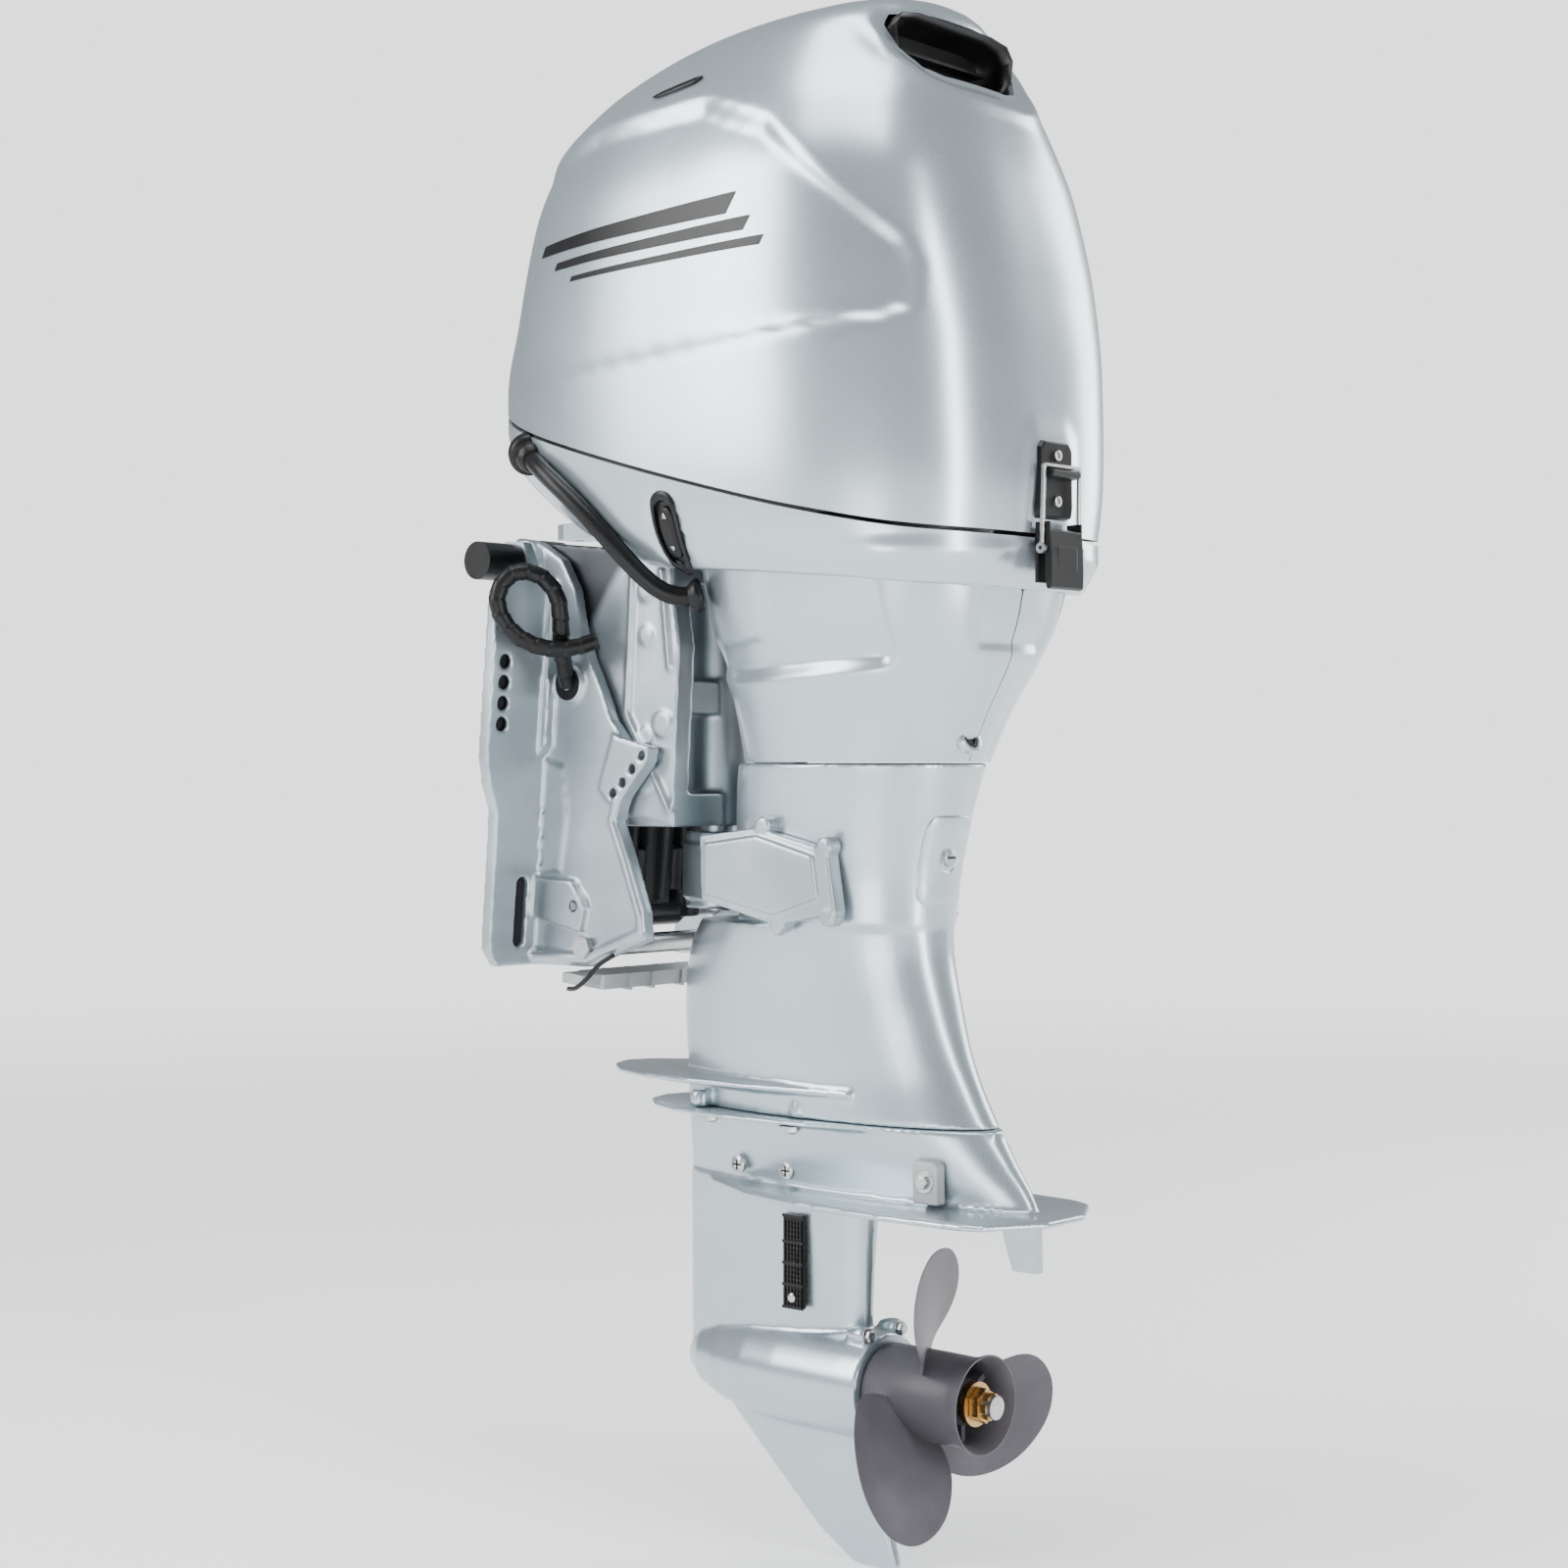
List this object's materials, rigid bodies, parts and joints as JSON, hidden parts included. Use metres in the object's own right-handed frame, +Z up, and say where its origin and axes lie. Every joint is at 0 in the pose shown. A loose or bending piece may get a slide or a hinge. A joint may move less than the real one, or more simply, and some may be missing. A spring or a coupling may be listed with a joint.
{
  "type": "outboard motor",
  "caption": "Long-shaft outboard motor with transom clamp, power trim and tilt, steering swivel, lift-off cowl with rear latch, geared vertical drive and right-hand three-blade propeller.",
  "frame": {"origin": "centre of the upper transom bolts, on the plane of the clamp flanges that rests on the transom", "axes": "+X aft, +Y starboard, +Z up along the leg"},
  "size_m": [0.593, 0.3803, 1.356],
  "materials": {
    "silver_paint": "metallic silver-blue clearcoat",
    "satin_casting": "satin silver paint on castings",
    "anode_alloy": "dull cast",
    "steel": "satin",
    "raw_aluminium": "cast",
    "black_plastic": "fine moulded grain",
    "black_rubber": "matt",
    "bush_plastic": "smooth",
    "dark_enamel": "satin",
    "chrome_rod": "polished",
    "propeller_paint": "satin dark grey",
    "nut_brass": "satin"
  },
  "bodies": {
    "clamp": {"clamp_bracket_port": "satin_casting", "clamp_bracket_starboard": "satin_casting", "tilt_tube": "steel", "tilt_tube_nuts": "steel", "tilt_tube_cap": "black_plastic", "lower_cross_bolt": "steel", "clamp_anode": "anode_alloy", "trim_harness": "black_rubber", "harness_grommet": "black_rubber", "bonding_wire": "black_rubber", "trim_lower_pin": "steel"},
    "swivel": {"swivel_bracket": "satin_casting", "steering_bushes": "bush_plastic", "trim_upper_pin": "steel"},
    "trim_barrel": {"trim_cylinder": "dark_enamel"},
    "trim_ram": {"trim_rod": "chrome_rod"},
    "motor": {"steering_frame": "dark_enamel", "rubber_mounts": "black_rubber", "lower_yoke": "satin_casting", "mount_cover_port": "satin_casting", "mount_cover_starboard": "satin_casting", "mount_cover_bolts": "steel", "mount_case": "raw_aluminium", "under_cover_port": "silver_paint", "under_cover_starboard": "silver_paint", "lower_cowl": "silver_paint", "cowl_seal": "black_rubber", "side_hose": "black_rubber", "cover_grommets": "black_rubber", "latch_base": "black_plastic", "extension_case": "silver_paint", "flush_cover": "silver_paint", "gearcase": "silver_paint", "trim_tab": "silver_paint", "intake_screens": "black_plastic", "case_anode": "anode_alloy", "oil_plugs": "steel", "bearing_carrier": "raw_aluminium", "water_pump": "black_plastic", "engine_block": "raw_aluminium", "cylinder_head": "raw_aluminium", "intake_silencer": "black_plastic", "starter_motor": "dark_enamel", "timing_belt": "black_rubber"},
    "lid": {"top_cowl": "silver_paint", "intake_duct": "black_plastic", "latch_catch": "black_plastic"},
    "lever": {"latch_lever": "black_plastic"},
    "bail": {"latch_bail": "steel"},
    "switch": {"tilt_switch": "black_plastic"},
    "crank": {"crankshaft": "steel", "flywheel": "steel", "drive_shaft": "steel", "drive_pinion": "steel"},
    "cam": {"camshaft": "steel"},
    "prop": {"forward_gear": "steel", "prop_shaft": "steel", "prop_nut": "nut_brass", "propeller": "propeller_paint"},
    "reverse": {"reverse_gear": "steel"}
  },
  "joints": [
    {"name": "tilt", "type": "hinge", "parent": "clamp", "child": "swivel", "pos_m": [-0.02196, 0, 0.12054], "axis": [0, -1, 0], "range_deg": [-1, 66]},
    {"name": "trim_barrel_swing", "type": "hinge", "parent": "clamp", "child": "trim_barrel", "pos_m": [0.03131, 0, -0.20376], "axis": [0, 1, 0], "range_deg": [-1, 7]},
    {"name": "trim_ram_stroke", "type": "slide", "parent": "trim_barrel", "child": "trim_ram", "axis": [0.0765, 0, 0.9971], "range_m": [-0.009, 0.122]},
    {"name": "steering", "type": "hinge", "parent": "swivel", "child": "motor", "pos_m": [0.125, 0, 0], "axis": [0, 0, 1], "range_deg": [-28, 28]},
    {"name": "cowl_lift", "type": "slide", "parent": "motor", "child": "lid", "axis": [0, 0, 1], "range_m": [0, 0.42]},
    {"name": "latch_open", "type": "hinge", "parent": "motor", "child": "lever", "pos_m": [0.511, 0, 0.126], "axis": [0, -1, 0], "range_deg": [0, 120]},
    {"name": "latch_bail_swing", "type": "hinge", "parent": "lever", "child": "bail", "pos_m": [0.511, 0, 0.112], "axis": [0, 1, 0], "range_deg": [0, 120]},
    {"name": "tilt_switch_rock", "type": "hinge", "parent": "motor", "child": "switch", "pos_m": [0.22, -0.164, 0.132], "axis": [1, 0, 0], "range_deg": [-4, 4], "stiffness_Nm_per_rad": 0.4},
    {"name": "crank_spin", "type": "hinge", "parent": "motor", "child": "crank", "pos_m": [0.222, 0, 0.3], "axis": [0, 0, 1], "continuous": true},
    {"name": "camshaft_spin", "type": "hinge", "parent": "motor", "child": "cam", "pos_m": [0.4, 0, 0.3], "axis": [0, 0, 1], "continuous": true},
    {"name": "propeller_spin", "type": "hinge", "parent": "motor", "child": "prop", "pos_m": [0.3, 0, -0.61], "axis": [1, 0, 0], "continuous": true},
    {"name": "reverse_gear_spin", "type": "hinge", "parent": "motor", "child": "reverse", "pos_m": [0.236, 0, -0.61], "axis": [1, 0, 0], "continuous": true}
  ],
  "couplings": [
    {"joint": "trim_ram_stroke", "follows": "tilt", "m_per_rad": 0.098},
    {"joint": "trim_barrel_swing", "follows": "tilt", "ratio": 0.086},
    {"joint": "latch_bail_swing", "follows": "latch_open", "ratio": 1},
    {"joint": "camshaft_spin", "follows": "crank_spin", "ratio": 0.5},
    {"joint": "propeller_spin", "follows": "crank_spin", "ratio": 0.47826},
    {"joint": "reverse_gear_spin", "follows": "crank_spin", "ratio": -0.47826}
  ]
}
